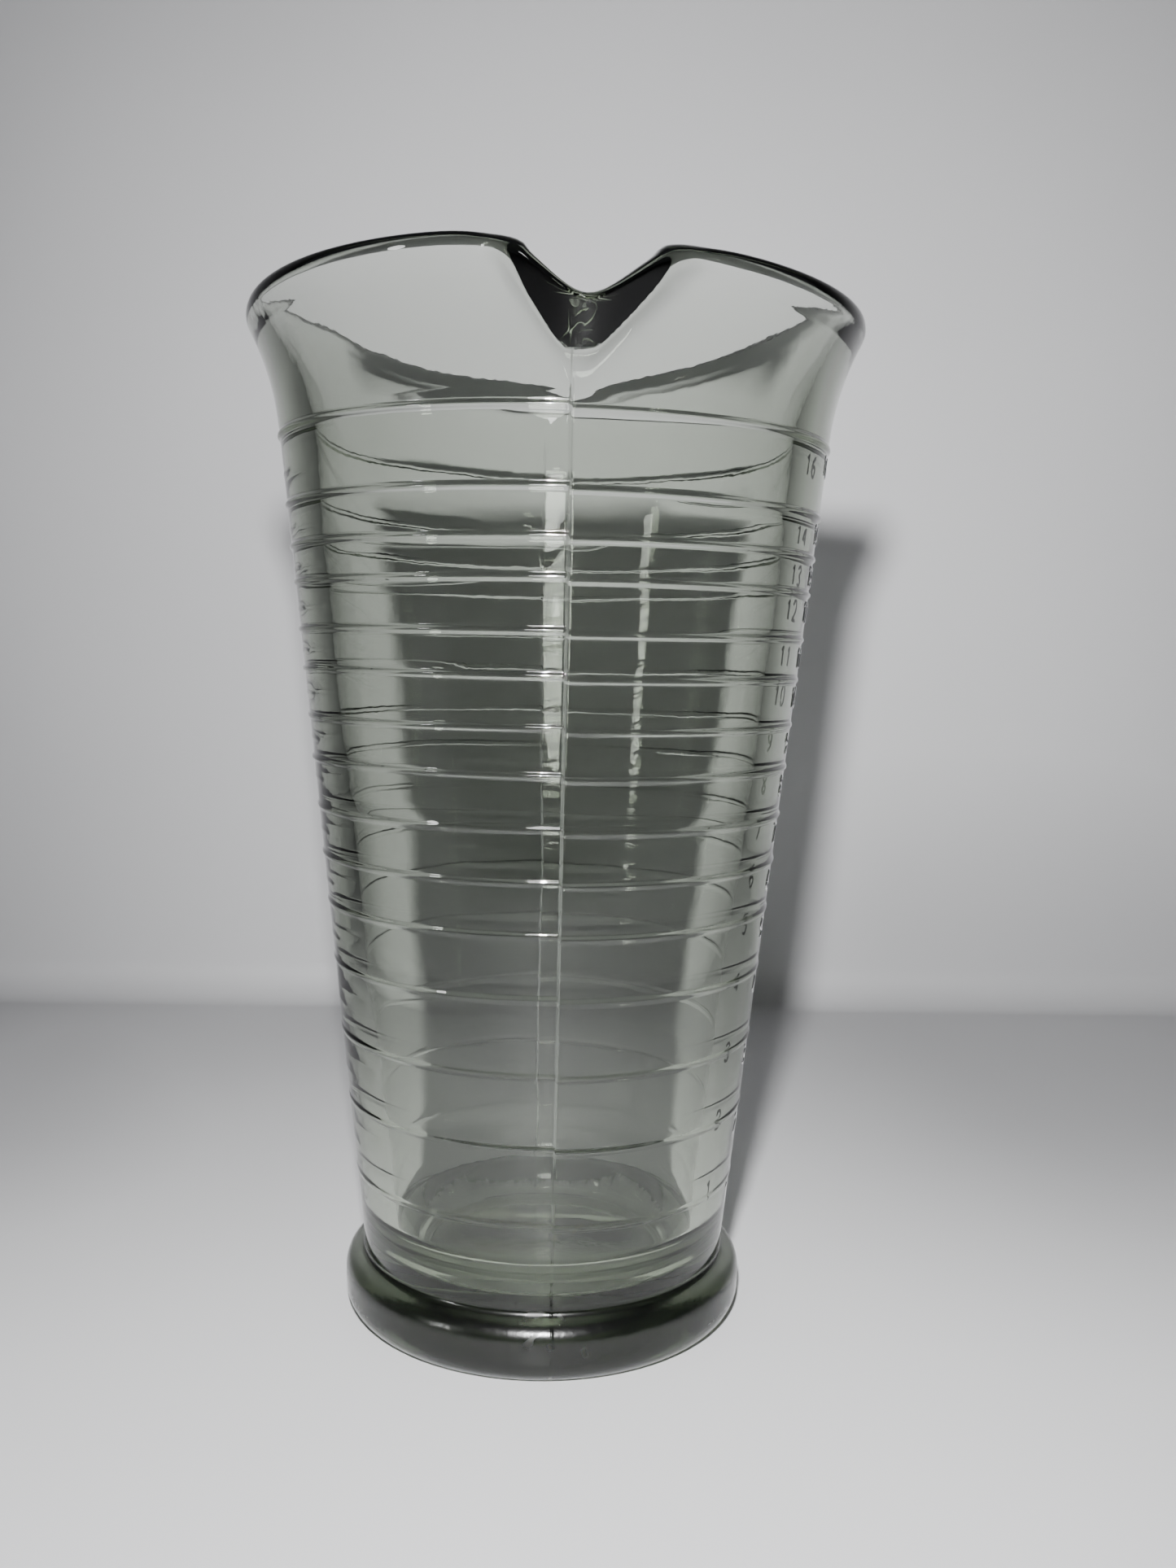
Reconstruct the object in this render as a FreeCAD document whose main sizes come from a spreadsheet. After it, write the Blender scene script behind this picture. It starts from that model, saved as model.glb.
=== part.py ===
"""Pressed-glass conical measure with a pour lip, raised graduation rings and a heavy foot.

The real thing is one pressing of clear glass. Each solid here is a named region of that pressing,
and neighbouring regions meet face to face. Millimetres, +Z up. The axis of the measure is the Z axis,
the foot stands on z = 0, and the pour lip points towards -Y.
"""

import FreeCAD, Part
import math
import os

import Sketcher

Vector = FreeCAD.Vector
Rotation = FreeCAD.Rotation
Placement = FreeCAD.Placement

doc = FreeCAD.newDocument("glass_measure")

# ---------------------------------------------------------------- sizes

sheet = doc.addObject("Spreadsheet::Sheet", "Sizes")

SIZES = {
    # foot: a thick ring under a waist, hollowed a little underneath
    "punt_rise": 2.0,
    "contact_inner_radius": 24.0,
    "contact_outer_radius": 31.6,
    "foot_radius": 34.2,
    "foot_heel_height": 3.6,
    "foot_brow_height": 7.6,
    "foot_shelf_radius": 33.3,
    "foot_shelf_height": 9.2,
    "foot_heel_arc": 4.4,
    "foot_brow_arc": 1.5,
    # tapered wall
    "waist_radius": 30.95,
    "waist_height": 10.3,
    "wall_taper": 0.1044,
    "wall_thickness": 5.6,
    "floor_height": 11.0,
    "floor_corner_arc": 5.0,
    # flared mouth with a rounded rim
    "flare_height": 147.0,
    "flare_arc": 44.0,
    "inner_flare_arc": 33.0,
    "rim_neck_radius": 50.0,
    "rim_neck_height": 163.2,
    "rim_arc": 1.8,
    "rim_top_radius": 48.0,
    "rim_top_height": 165.5,
    "rim_crease_radius": 45.3,
    "rim_crease_height": 162.2,
    # pour lip: a rounded V pressed outwards through the rim
    "lip_slope_degrees": 23.0,
    "keel_radius": 46.3,
    "keel_height": 153.2,
    "lip_fold_slope": 1.15,
    "lip_keel_arc": 2.6,
    "lip_inset": 8.0,
    "channel_fold_slope": 1.3,
    "channel_keel_arc": 2.2,
    "channel_rise": 3.9,
    "channel_slope_degrees": 10.0,
    "channel_inset": 16.0,
    "fold_half_width": 16.0,
    "fold_length": 40.0,
    "lip_tip_half_width": 3.0,
    "lip_tip_shoulder": 54.2,
    "lip_tip_arc": 4.0,
    "lip_root_half_width": 14.0,
    "lip_root_reach": 48.4,
    "lip_back": 46.0,
    "lip_foot_height": 150.0,
    "lip_top_height": 166.0,
    # raised marks
    "ring_half_height": 0.62,
    "ring_arc": 0.68,
    "tick_half_height": 0.5,
    "tick_arc": 0.54,
    "tick_arc_degrees": 28.0,
    "tick_azimuth_degrees": -84.0,
    "mould_step": 0.5,
    "seam_azimuth_degrees": 1.3,
    "seam_width": 0.6,
    "seam_proud": 0.2,
    "numeral_height": 3.7,
    "numeral_width": 2.3,
    "numeral_pitch": 3.2,
    "numeral_stroke": 0.55,
    "numeral_proud": 0.35,
    "numeral_drop": 1.0,
    "numeral_azimuth_degrees": 70.0,
}

# Heights of the full rings, by the volume in fluid ounces that each one marks. 15 has no ring.
RING_HEIGHTS = {
    1: 25.1, 2: 37.5, 3: 49.4, 4: 61.3, 5: 71.0, 6: 79.1, 7: 86.9, 8: 94.8,
    9: 101.7, 10: 109.2, 11: 115.6, 12: 123.1, 13: 128.8, 14: 135.4, 16: 146.3,
}

# Where each half-way mark stands between its two rings, as a share of the step, by the lower ring.
TICK_SHARES = {
    1: 0.46, 2: 0.45, 3: 0.44, 4: 0.43, 5: 0.44, 6: 0.51, 7: 0.60,
    8: 0.49, 9: 0.49, 10: 0.46, 11: 0.43, 12: 0.35, 13: 0.42, 14: 0.44,
}

for ounces, height in RING_HEIGHTS.items():
    SIZES[f"ring_{ounces}_height"] = height
for ounces, share in TICK_SHARES.items():
    SIZES[f"tick_{ounces}_share"] = share

for row, (name, value) in enumerate(SIZES.items(), start=1):
    sheet.set(f"A{row}", name)
    sheet.set(f"B{row}", str(value))
    sheet.setAlias(f"B{row}", name)

# Sizes that follow from the driving ones. Each is a formula in the same sheet.
WALL = "waist_radius + wall_taper * ({height} - waist_height)"
DERIVED = {
    "zero": "0",
    "flare_radius": WALL.format(height="flare_height"),
    "inner_flare_radius": "flare_radius - wall_thickness",
    "corner_height": "floor_height + floor_corner_arc",
    "corner_radius": WALL.format(height="corner_height") + " - wall_thickness",
    "floor_radius": "corner_radius - floor_corner_arc",
    "lip_depth": "lip_top_height - lip_foot_height",
}
# A fold is a V with a rounded keel, drawn square to the keel. Its corners are where the straight
# flanks meet the arc, and its origin is the lowest point of that arc.
for fold in ("lip", "channel"):
    DERIVED[f"{fold}_flank"] = f"{fold}_fold_slope * cos({fold}_slope_degrees)"
    DERIVED[f"{fold}_touch"] = f"{fold}_keel_arc / sqrt(1 + 1 / {fold}_flank^2)"
    DERIVED[f"{fold}_touch_height"] = f"{fold}_keel_arc * (1 - 1 / sqrt(1 + {fold}_flank^2))"
    DERIVED[f"{fold}_flank_height"] = (
        f"{fold}_touch_height + (fold_half_width - {fold}_touch) * {fold}_flank"
    )


def add_band(name, height, half_height):
    """Cells for a raised band: the two corners where its section meets the wall."""
    for end, sign in (("low", "-"), ("high", "+")):
        DERIVED[f"{name}_{end}"] = f"{height} {sign} {half_height}"
        DERIVED[f"{name}_{end}_radius"] = WALL.format(height=f"{name}_{end}")


# The right half of the mould sat lower than the left, so each full ring steps down at the seams.
HALF_DROPS = {"right": "mould_step", "left": "0"}
MARKS = list(RING_HEIGHTS)
for ounces in MARKS:
    for half, drop in HALF_DROPS.items():
        add_band(f"ring_{ounces}_{half}", f"ring_{ounces}_height - {drop}", "ring_half_height")
for lower, upper in zip(MARKS, MARKS[1:]):
    step = f"tick_{lower}_share * (ring_{upper}_height - ring_{lower}_height)"
    add_band(f"tick_{lower}", f"ring_{lower}_height + {step}", "tick_half_height")

for row, (name, formula) in enumerate(DERIVED.items(), start=len(SIZES) + 1):
    sheet.set(f"A{row}", name)
    sheet.set(f"B{row}", "=" + formula)
    sheet.setAlias(f"B{row}", name)
doc.recompute()


def size(name):
    """A size from the sheet, as a plain number."""
    return float(sheet.get(name))


def wall_radius(height):
    """Outer radius of the tapered wall at a height."""
    return size("waist_radius") + size("wall_taper") * (height - size("waist_height"))


# ---------------------------------------------------------------- helpers


def cell_value(entry):
    """Value of a corner entry: a name from the sheet, with a minus sign before it where negative."""
    return -size(entry[1:]) if entry.startswith("-") else size(entry)


def cell_formula(entry):
    """The same entry as an expression that a constraint can be bound to."""
    return "-Sizes." + entry[1:] if entry.startswith("-") else "Sizes." + entry


def arc_between(start, end, radius, bulge):
    """Arc of a radius from start to end. bulge is +1 to swell to the left of the way, -1 to the right."""
    chord = end - start
    middle = (start + end) * 0.5
    left = Vector(-chord.y, chord.x, 0).normalize()
    depth = radius - math.sqrt(radius**2 - (chord.Length / 2) ** 2)
    return Part.Arc(start, middle + left * depth * bulge, end)


def outline(body, name, plane_role, corners, arcs=None):
    """Closed sketch on one of the body's own planes.

    corners are pairs of names from the sheet, and arcs maps the number of an edge to
    (name of its radius, bulge). Every corner and radius is bound to its cell.
    """
    arcs = arcs or {}
    plane = next(f for f in body.Origin.OriginFeatures if f.Role == plane_role)
    sketch = body.newObject("Sketcher::SketchObject", name)
    sketch.AttachmentSupport = [(plane, "")]
    sketch.MapMode = "FlatFace"
    points = [Vector(cell_value(x), cell_value(y), 0) for x, y in corners]
    count = len(points)
    ends = []
    for i, start in enumerate(points):
        end = points[(i + 1) % count]
        if i in arcs:
            radius, bulge = arcs[i]
            sketch.addGeometry(arc_between(start, end, size(radius), bulge))
        else:
            sketch.addGeometry(Part.LineSegment(start, end))
        forwards = (sketch.getPoint(i, 1) - start).Length < (sketch.getPoint(i, 2) - start).Length
        ends.append((1, 2) if forwards else (2, 1))
    for i in range(count):
        following = (i + 1) % count
        sketch.addConstraint(
            Sketcher.Constraint("Coincident", i, ends[i][1], following, ends[following][0])
        )
    for i, (x, y) in enumerate(corners):
        for kind, axis, cell, place in (
            ("DistanceX", -2, x, points[i].x),
            ("DistanceY", -1, y, points[i].y),
        ):
            if cell == "zero":
                sketch.addConstraint(Sketcher.Constraint("PointOnObject", i, ends[i][0], axis))
                continue
            index = sketch.addConstraint(Sketcher.Constraint(kind, -1, 1, i, ends[i][0], place))
            sketch.setExpression(f"Constraints[{index}]", cell_formula(cell))
    for i, (radius, bulge) in arcs.items():
        index = sketch.addConstraint(Sketcher.Constraint("Radius", i, size(radius)))
        sketch.setExpression(f"Constraints[{index}]", f"Sizes.{radius}")
    return sketch


def turned_body(name, corners, arcs, sweep=360.0, start=0.0):
    """Solid of revolution about Z from an outline of (radius, height) corners.

    A part turn starts at an angle from +X, both in degrees.
    """
    body = doc.addObject("PartDesign::Body", name)
    profile = outline(body, name + "_profile", "XZ_Plane", corners, arcs)
    revolution = body.newObject("PartDesign::Revolution", name + "_turned")
    revolution.Profile = profile
    revolution.ReferenceAxis = (profile, ["V_Axis"])
    revolution.Angle = sweep
    body.Placement = Placement(Vector(), Rotation(Vector(0, 0, 1), start))
    doc.recompute()
    return body


def boolean(kind, name, base, tool):
    """Part boolean of two objects: Cut, Common or Fuse."""
    result = doc.addObject("Part::" + kind, name)
    result.Base = base
    result.Tool = tool
    doc.recompute()
    return result


def compound(name, members):
    """Separate solids that share one node."""
    result = doc.addObject("Part::Compound", name)
    result.Links = members
    doc.recompute()
    return result


# ---------------------------------------------------------------- foot

foot_ring = turned_body(
    "foot_ring",
    [
        ("zero", "punt_rise"),
        ("contact_inner_radius", "zero"),
        ("contact_outer_radius", "zero"),
        ("foot_radius", "foot_heel_height"),
        ("foot_radius", "foot_brow_height"),
        ("foot_shelf_radius", "foot_shelf_height"),
        ("waist_radius", "waist_height"),
        ("zero", "waist_height"),
    ],
    {2: ("foot_heel_arc", -1), 4: ("foot_brow_arc", -1)},
)

# ---------------------------------------------------------------- tapered wall and flared rim

wall = turned_body(
    "wall",
    [
        ("zero", "waist_height"),
        ("waist_radius", "waist_height"),
        ("flare_radius", "flare_height"),
        ("rim_neck_radius", "rim_neck_height"),
        ("rim_top_radius", "rim_top_height"),
        ("rim_crease_radius", "rim_crease_height"),
        ("inner_flare_radius", "flare_height"),
        ("corner_radius", "corner_height"),
        ("floor_radius", "floor_height"),
        ("zero", "floor_height"),
    ],
    {
        2: ("flare_arc", 1),
        3: ("rim_arc", -1),
        5: ("inner_flare_arc", -1),
        7: ("floor_corner_arc", -1),
    },
)

# ---------------------------------------------------------------- pour lip


def fold_prism(fold, rise):
    """V-shaped bar with a rounded keel, run outwards and up from above or at the keel of the lip."""
    body = doc.addObject("PartDesign::Body", fold + "_fold")
    profile = outline(
        body,
        fold + "_fold_profile",
        "XZ_Plane",
        [
            (f"-{fold}_touch", f"{fold}_touch_height"),
            (f"{fold}_touch", f"{fold}_touch_height"),
            ("fold_half_width", f"{fold}_flank_height"),
            ("-fold_half_width", f"{fold}_flank_height"),
        ],
        {0: (f"{fold}_keel_arc", -1)},
    )
    pad = body.newObject("PartDesign::Pad", fold + "_fold_pad")
    pad.Profile = profile
    pad.setExpression("Length", "Sizes.fold_length")
    slope = size(fold + "_slope_degrees")
    along = Vector(0, -math.cos(math.radians(slope)), math.sin(math.radians(slope)))
    start = Vector(0, -size("keel_radius"), size("keel_height") + size(rise))
    start -= along * size(f"{fold}_inset")
    body.Placement = Placement(start, Rotation(Vector(1, 0, 0), -slope))
    doc.recompute()
    return body


lip_fold = fold_prism("lip", "zero")
channel_fold = fold_prism("channel", "channel_rise")

lip_plan = doc.addObject("PartDesign::Body", "lip_plan")
lip_plan_profile = outline(
    lip_plan,
    "lip_plan_profile",
    "XY_Plane",
    [
        ("-lip_root_half_width", "-lip_back"),
        ("-lip_root_half_width", "-lip_root_reach"),
        ("-lip_tip_half_width", "-lip_tip_shoulder"),
        ("lip_tip_half_width", "-lip_tip_shoulder"),
        ("lip_root_half_width", "-lip_root_reach"),
        ("lip_root_half_width", "-lip_back"),
    ],
    {2: ("lip_tip_arc", -1)},
)
lip_plan_pad = lip_plan.newObject("PartDesign::Pad", "lip_plan_pad")
lip_plan_pad.Profile = lip_plan_profile
lip_plan_pad.setExpression("Length", "Sizes.lip_depth")
lip_plan.Placement = Placement(Vector(0, 0, size("lip_foot_height")), Rotation())

lip_block = boolean("Common", "lip_block", lip_fold, lip_plan)
lip_shell = boolean("Cut", "lip_shell", lip_block, channel_fold)
pour_lip = boolean("Cut", "pour_lip", lip_shell, wall)
glass_body = boolean("Cut", "glass_body", wall, channel_fold)

# ---------------------------------------------------------------- graduation rings


def wall_cone(name, proud):
    """Solid cone whose side is the outer face of the tapered wall, grown by a distance."""
    cone = doc.addObject("Part::Cone", name)
    cone.setExpression("Radius1", f"Sizes.waist_radius + {proud}")
    cone.setExpression("Radius2", f"Sizes.flare_radius + {proud}")
    cone.setExpression("Height", "Sizes.flare_height - Sizes.waist_height")
    cone.setExpression("Placement.Base.z", "Sizes.waist_height")
    doc.recompute()
    return cone


def band(name, arc, start, sweep):
    """Raised band on the wall: a flat back on the wall's face and a rounded front."""
    corners = [(f"{name}_{end}_radius", f"{name}_{end}") for end in ("low", "high")]
    return turned_body(name, corners, {0: (arc, -1)}, sweep, start)


core = wall_cone("wall_core", "0")
seam_start = -90 - size("seam_azimuth_degrees")
half_starts = {"right": seam_start, "left": seam_start + 180}
half_rings = [
    band(f"ring_{ounces}_{half}", "ring_arc", half_starts[half], 180)
    for ounces in MARKS
    for half in HALF_DROPS
]
graduation_rings = compound("graduation_rings", half_rings)

# ---------------------------------------------------------------- half-way marks

tick_sweep = size("tick_arc_degrees")
tick_start = 270 + size("tick_azimuth_degrees") - tick_sweep / 2
half_graduations = compound(
    "half_graduations",
    [band(f"tick_{lower}", "tick_arc", tick_start, tick_sweep) for lower in MARKS[:-1]],
)

# ---------------------------------------------------------------- mould seams


def seam_plate(low, high):
    """Thin upright plate through the axis at the seams' azimuth, between two heights from the sheet."""
    plate = doc.addObject("Part::Box", f"seam_plate_{low}")
    plate.setExpression("Length", "Sizes.seam_width")
    plate.setExpression("Width", "4 * Sizes.rim_neck_radius")
    plate.setExpression("Height", f"Sizes.{high} - Sizes.{low}")
    turn = Rotation(Vector(0, 0, 1), -size("seam_azimuth_degrees"))
    corner = Vector(-size("seam_width") / 2, -2 * size("rim_neck_radius"), size(low))
    plate.Placement = Placement(turn.multVec(corner), turn)
    return plate


# Each seam runs from the waist to the top ring and stops at every ring on its way.
seam_starts = ["waist_height"] + [f"ring_{ounces}_left_high" for ounces in MARKS[:-1]]
seam_ends = [f"ring_{ounces}_right_low" for ounces in MARKS]
seam_plates = compound("seam_plates", [seam_plate(*gap) for gap in zip(seam_starts, seam_ends)])
seam_skin = wall_cone("seam_skin", "Sizes.seam_proud")
seam_slice = boolean("Common", "seam_slice", seam_skin, seam_plates)
mould_seams = boolean("Cut", "mould_seams", seam_slice, core)

# ---------------------------------------------------------------- numerals

# Each digit is one pen stroke through points of a unit cell, x to the right and y up.
DIGITS = {
    "0": [(0, 0.25), (0, 0.75), (0.3, 1), (0.7, 1), (1, 0.75), (1, 0.25), (0.7, 0), (0.3, 0), (0, 0.25)],
    "1": [(0.2, 0.78), (0.6, 1), (0.6, 0)],
    "2": [(0, 0.75), (0.25, 1), (0.75, 1), (1, 0.75), (0.9, 0.5), (0, 0), (1, 0)],
    "3": [(0, 0.85), (0.3, 1), (0.7, 1), (1, 0.78), (0.5, 0.53), (1, 0.25), (0.7, 0), (0.3, 0), (0, 0.15)],
    "4": [(0.75, 0), (0.75, 1), (0, 0.3), (1, 0.3)],
    "5": [(0.95, 1), (0.1, 1), (0.05, 0.55), (0.6, 0.62), (1, 0.32), (0.7, 0), (0, 0.08)],
    "6": [(0.85, 1), (0.25, 0.75), (0, 0.3), (0.3, 0), (0.7, 0), (1, 0.3), (0.7, 0.55), (0.08, 0.45)],
    "7": [(0, 1), (1, 1), (0.35, 0)],
    "8": [(0.5, 0.53), (0, 0.78), (0.3, 1), (0.7, 1), (1, 0.78), (0, 0.25), (0.3, 0), (0.7, 0),
          (1, 0.25), (0.5, 0.53)],
    "9": [(0.15, 0), (0.75, 0.25), (1, 0.7), (0.7, 1), (0.3, 1), (0, 0.7), (0.3, 0.45), (0.92, 0.55)],
}


def pen_stroke(points, width, depth):
    """Bars with round ends along a line of points in the XZ plane, standing out along -Y by depth."""
    out = Vector(0, -1, 0)
    bars = [Part.makeCylinder(width / 2, depth, point, out) for point in points]
    for start, end in zip(points, points[1:]):
        run = end - start
        side = run.cross(out).normalize() * (width / 2)
        face = Part.Face(
            Part.makePolygon([start + side, end + side, end - side, start - side, start + side])
        )
        bars.append(face.extrude(out * depth))
    return bars


def numeral(text, base_height):
    """The bars of a number, its first digit at the numerals' azimuth, reaching from inside the wall."""
    stroke = size("numeral_stroke")
    depth = wall_radius(base_height) + size("wall_thickness")
    bars = []
    for place, digit in enumerate(text):
        cell_x = (place - 0.5) * size("numeral_pitch")
        points = [
            Vector(
                cell_x + stroke / 2 + x * (size("numeral_width") - stroke),
                0,
                base_height + stroke / 2 + y * (size("numeral_height") - stroke),
            )
            for x, y in DIGITS[digit]
        ]
        bars += pen_stroke(points, stroke, depth)
    drawn = bars[0].multiFuse(bars[1:])
    drawn.rotate(Vector(0, 0, 0), Vector(0, 0, 1), size("numeral_azimuth_degrees"))
    return drawn


numeral_skin = wall_cone("numeral_skin", "Sizes.numeral_proud")
raised_skin = numeral_skin.Shape.cut(core.Shape)
below_ring = size("mould_step") + size("numeral_drop") + size("numeral_height")
numbers = [
    numeral(str(ounces), size(f"ring_{ounces}_height") - below_ring).common(raised_skin)
    for ounces in RING_HEIGHTS
]
scale_numerals = doc.addObject("Part::Feature", "scale_numerals")
scale_numerals.Shape = Part.makeCompound([solid for number in numbers for solid in number.Solids])
scale_numerals.Placement = Placement()

# ---------------------------------------------------------------- check and write

NODES = {
    "foot_ring": foot_ring,
    "glass_body": glass_body,
    "pour_lip": pour_lip,
    "graduation_rings": graduation_rings,
    "half_graduations": half_graduations,
    "scale_numerals": scale_numerals,
    "mould_seams": mould_seams,
}

doc.recompute()
failed = [o.Name for o in doc.Objects if {"Invalid", "Error"} & set(o.State)]
if failed:
    raise RuntimeError("objects that failed: " + ", ".join(failed))

os.makedirs("parts", exist_ok=True)
for node, piece in NODES.items():
    piece.Label = node
    shape = piece.Shape
    if shape.isNull() or not shape.isValid():
        raise RuntimeError(node + " has no valid shape")
    box = shape.optimalBoundingBox()
    print(
        f"{node}: {len(shape.Solids)} solids, {shape.Volume:.1f} mm3,"
        f" x {box.XMin:.1f} to {box.XMax:.1f}, y {box.YMin:.1f} to {box.YMax:.1f},"
        f" z {box.ZMin:.1f} to {box.ZMax:.1f}"
    )
    shape.exportStep(f"parts/{node}.step")
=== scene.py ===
# %% [markdown]
# # A pressed-glass measure
#
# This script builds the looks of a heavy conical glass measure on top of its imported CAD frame.
# The real one was pressed in a mould in one go: foot, wall, raised rings and pour lip are one skin of
# clear, faintly green glass. Glass shows every hidden face, so the skin has to be one closed surface.
# If the CAD regions were shown as they are, the faces where they meet would show as mirrors inside.

import math

import bpy
import numpy as np
from mathutils import Matrix, Vector


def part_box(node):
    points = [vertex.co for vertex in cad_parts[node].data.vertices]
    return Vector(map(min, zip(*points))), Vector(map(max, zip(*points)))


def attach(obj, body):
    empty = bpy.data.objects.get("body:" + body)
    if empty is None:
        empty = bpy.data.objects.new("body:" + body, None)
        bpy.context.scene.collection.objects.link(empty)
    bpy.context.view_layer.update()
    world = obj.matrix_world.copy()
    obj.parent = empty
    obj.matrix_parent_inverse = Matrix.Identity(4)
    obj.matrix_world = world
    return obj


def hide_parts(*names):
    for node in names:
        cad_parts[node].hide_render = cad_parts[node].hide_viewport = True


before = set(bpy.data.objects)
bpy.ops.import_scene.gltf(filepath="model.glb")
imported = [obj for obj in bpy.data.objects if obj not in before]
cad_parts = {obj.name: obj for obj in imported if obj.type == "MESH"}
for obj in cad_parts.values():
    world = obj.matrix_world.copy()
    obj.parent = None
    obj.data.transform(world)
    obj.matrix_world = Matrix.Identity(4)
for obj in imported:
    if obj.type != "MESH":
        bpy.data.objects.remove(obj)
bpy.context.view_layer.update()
MM = 0.001

# %% [markdown]
# The heights of the rings and of the short half-way marks come from the CAD nodes themselves. Each node
# is one mesh that holds all its bands, so its vertices fall into clusters of height, one per band. A
# table of typed heights would look the same today, but it would drift from the frame if that changed.

# %% Read the bands off the frame


def vertices(node):
    """All the vertices of a CAD node as an array, in mm."""
    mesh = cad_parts[node].data
    flat = np.empty(3 * len(mesh.vertices))
    mesh.vertices.foreach_get("co", flat)
    return flat.reshape(-1, 3) / MM


def band_heights(node, keep, gap=1.2):
    """Middle height of each band: the kept heights in order, cut wherever two are a gap apart."""
    points = vertices(node)
    heights = np.unique(np.round(points[keep(points)][:, 2], 3))
    groups = np.split(heights, np.flatnonzero(np.diff(heights) > gap) + 1)
    return np.array([(group[0] + group[-1]) / 2 for group in groups])


ring_heights = band_heights("graduation_rings", lambda p: p[:, 0] < -5)
lowered = band_heights("graduation_rings", lambda p: p[:, 0] > 5)
tick_heights = band_heights("half_graduations", lambda p: p[:, 0] < 0)
MOULD_STEP = float(np.mean(ring_heights - lowered))
print("rings:", np.round(ring_heights, 1))
print("half-way marks:", np.round(tick_heights, 1))
print("the right half of the mould sat lower by", round(MOULD_STEP, 2), "mm")

# %% [markdown]
# Everything about a turned shape is said by radius against height. The outer wall is a straight taper
# from the waist up to the flare, and the inner one runs parallel to it. The waist is where the foot
# node ends. The taper and the wall's thickness are measured on the body node's own vertices.

# %% Sizes of the turned shape, in mm
foot_high = np.array(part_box("foot_ring")[1]) / MM
WAIST_HEIGHT = float(foot_high[2])
FOOT_RADIUS = float(foot_high[0])
body_points = vertices("glass_body")
body_radii = np.hypot(body_points[:, 0], body_points[:, 1])
at_waist = np.abs(body_points[:, 2] - WAIST_HEIGHT) < 0.05
WAIST_RADIUS = float(body_radii[at_waist].max())
FLARE_HEIGHT = 147.0
at_flare = (np.abs(body_points[:, 2] - FLARE_HEIGHT) < 0.05) & (body_points[:, 1] > 0)
TAPER = (float(body_radii[at_flare].max()) - WAIST_RADIUS) / (FLARE_HEIGHT - WAIST_HEIGHT)
WALL_THICKNESS = float(body_radii[at_flare].max() - body_radii[at_flare].min())
FLOOR_HEIGHT = 11.0
FLOOR_CORNER = 5.0
FLOOR_DISH = 0.5
NECK = (50.05, 163.3)
RIM_TOP = (48.0, 165.55)
CREASE = (45.3, 162.2)
print("waist", round(WAIST_RADIUS, 2), "taper", round(TAPER, 4), "wall", round(WALL_THICKNESS, 2))


def wall_radius(height):
    """Outer radius of the tapered wall at a height: a straight line through the waist."""
    return WAIST_RADIUS + TAPER * (height - WAIST_HEIGHT)


def arc(start, end, radius, bulge, count):
    """Points along a circle's arc between two (radius, height) points, both ends included.

    The centre stands off the middle of the chord by sqrt(radius^2 - (chord / 2)^2), and bulge is +1
    where the arc swells to the left of the way from start to end.
    """
    start, end = np.array(start, float), np.array(end, float)
    chord = end - start
    length = np.hypot(*chord)
    left = np.array([-chord[1], chord[0]]) / length
    centre = (start + end) / 2 - left * bulge * math.sqrt(radius**2 - (length / 2) ** 2)
    first = math.atan2(*(start - centre)[::-1])
    last = math.atan2(*(end - centre)[::-1])
    turn = (last - first + math.pi) % (2 * math.pi) - math.pi
    angles = first + turn * np.linspace(0, 1, count)
    return centre + radius * np.column_stack([np.cos(angles), np.sin(angles)])


# %% [markdown]
# A surface like this is a grid: rows run round the measure and columns run from the middle of the
# underside, up the outside, over the rim and down the inside. The grid is not even. Rows crowd where a
# ring stands proud and columns crowd at the mould seams and the pour lip, because detail that falls
# between two rows is lost. Everywhere else they are sparse, which keeps the mesh light.

# %% Columns: angles round the measure
# The angle is 0 at the pour lip and grows towards +X.
SEAM_ANGLE = -1.3
TICK_MIDDLE, TICK_SWEEP = -84.0, 28.0
LIP_SIDE = 21
CLOSEST = 0.07
beside_seam = np.array([0.1, 0.22, 0.34, 0.48, 0.65, 0.9])
seam_fan = np.concatenate([-beside_seam, [0], beside_seam])
tick_fan = np.array([-1.2, 0, 1.2, 2.4, 3.6])
columns = np.concatenate([
    np.arange(-180, 180, 2.5),
    np.arange(-LIP_SIDE, LIP_SIDE, 1.0),
    SEAM_ANGLE + seam_fan,
    SEAM_ANGLE + 180 + seam_fan,
    TICK_MIDDLE - TICK_SWEEP / 2 + tick_fan,
    TICK_MIDDLE + TICK_SWEEP / 2 - tick_fan,
])
columns = np.unique(np.round((columns + 180) % 360 - 180, 3))
columns = columns[np.concatenate([[True], np.diff(columns) > CLOSEST])]
angle = np.radians(columns)[None, :]
print(len(columns), "columns")

# %% [markdown]
# The mould was a hinged pair of halves, and they did not quite line up. So each ring breaks at the
# seams, and its right half sits half a millimetre lower. The rings also wander a little in height, as
# hand-cut grooves do, and the lowest are worn almost flat. Random phases come from a seeded
# generator, so every run gives the same glass.

# %% Raised marks on the wall
rng = np.random.default_rng(16)
RING_HALF, TICK_HALF, STEEPNESS = 0.52, 0.38, 0.7
SEAM_PROUD, SEAM_HALF = 0.2, 0.26
ring_wander = rng.uniform(0, 2 * math.pi, (len(ring_heights), 3))
ring_proud = np.interp(ring_heights, [25, 62, 90, 146], [0.10, 0.18, 0.30, 0.40])
tick_proud = np.interp(tick_heights, [40, 90], [0.04, 0.10])


def smooth_step(x, low, high):
    """0 below low, 1 above high, and an even S-shaped ramp between them."""
    x = np.clip((x - low) / (high - low), 0, 1)
    return x * x * (3 - 2 * x)


def half_turn(degrees):
    """Angle difference folded to the range from -180 to 180 degrees."""
    return (degrees + 180) % 360 - 180


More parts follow.
